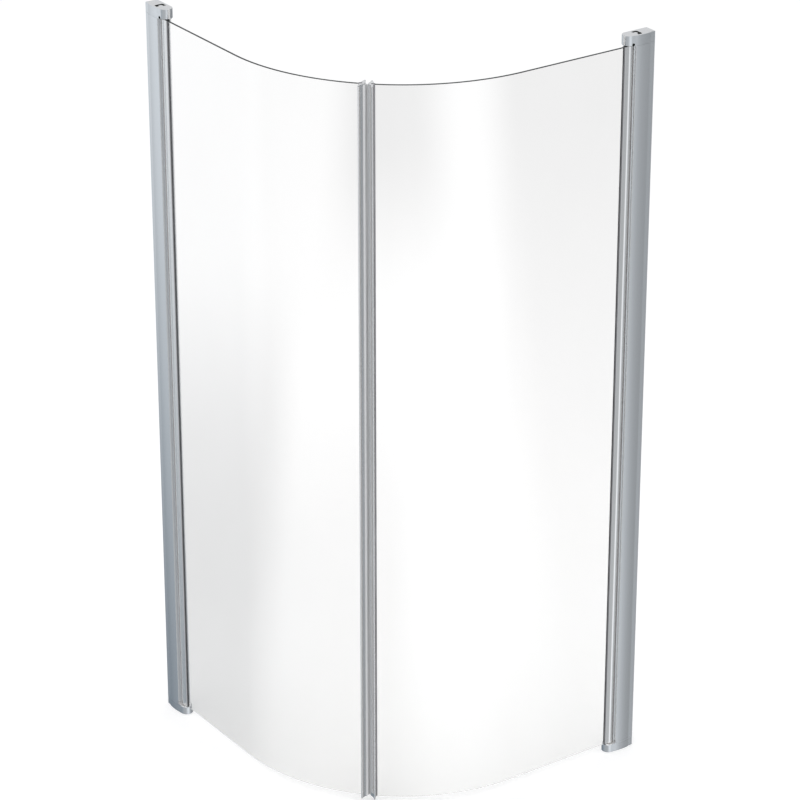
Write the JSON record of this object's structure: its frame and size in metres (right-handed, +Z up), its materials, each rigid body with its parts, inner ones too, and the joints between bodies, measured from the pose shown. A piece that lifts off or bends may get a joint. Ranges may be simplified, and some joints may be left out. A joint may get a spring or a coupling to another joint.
{
  "type": "corner shower enclosure",
  "caption": "Quadrant corner shower enclosure with curved clear glass doors hinged on aluminium wall columns, closing on crossed magnetic grip profiles.",
  "frame": {"origin": "centre of the outer square on the floor, at the foot of the columns", "axes": "+Z up; the room corner lies towards -X +Y, the left wall at -X, the back wall at +Y, and the curved doors face +X -Y"},
  "size_m": [0.9, 0.9, 2],
  "materials": {
    "satin": "satin anodised",
    "cap_metal": "satin die-cast",
    "steel": "stainless",
    "gasket_rubber": "matt black",
    "bush_nylon": "matt",
    "magnet_strip": "matt grey",
    "clear_glass": "clear, polished edges"
  },
  "bodies": {
    "frame": {"left_wall_channel": "satin", "left_post": "satin", "left_top_cap": "cap_metal", "left_foot_cap": "cap_metal", "left_top_pivot_pin": "steel", "left_foot_pivot_pin": "steel", "left_clamp_screw_1": "steel", "left_clamp_screw_2": "steel", "left_clamp_screw_3": "steel", "right_wall_channel": "satin", "right_post": "satin", "right_top_cap": "cap_metal", "right_foot_cap": "cap_metal", "right_top_pivot_pin": "steel", "right_foot_pivot_pin": "steel", "right_clamp_screw_1": "steel", "right_clamp_screw_2": "steel", "right_clamp_screw_3": "steel"},
    "left_door": {"left_hinge_profile": "satin", "left_hinge_gasket": "gasket_rubber", "left_glass": "clear_glass", "left_grip_profile": "satin", "left_grip_gasket": "gasket_rubber", "left_magnet_strip": "magnet_strip", "left_top_pivot_bush": "bush_nylon", "left_foot_pivot_bush": "bush_nylon", "left_grip_top_cap": "cap_metal", "left_grip_foot_cap": "cap_metal"},
    "right_door": {"right_hinge_profile": "satin", "right_hinge_gasket": "gasket_rubber", "right_glass": "clear_glass", "right_grip_profile": "satin", "right_grip_gasket": "gasket_rubber", "right_magnet_strip": "magnet_strip", "right_top_pivot_bush": "bush_nylon", "right_foot_pivot_bush": "bush_nylon", "right_grip_top_cap": "cap_metal", "right_grip_foot_cap": "cap_metal"}
  },
  "joints": [
    {"name": "left_door_hinge", "type": "hinge", "parent": "frame", "child": "left_door", "pos_m": [-0.382, -0.4298, 0], "axis": [0, 0, -1], "range_deg": [0, 90]},
    {"name": "right_door_hinge", "type": "hinge", "parent": "frame", "child": "right_door", "pos_m": [0.4298, 0.382, 0], "axis": [0, 0, 1], "range_deg": [0, 90]}
  ]
}
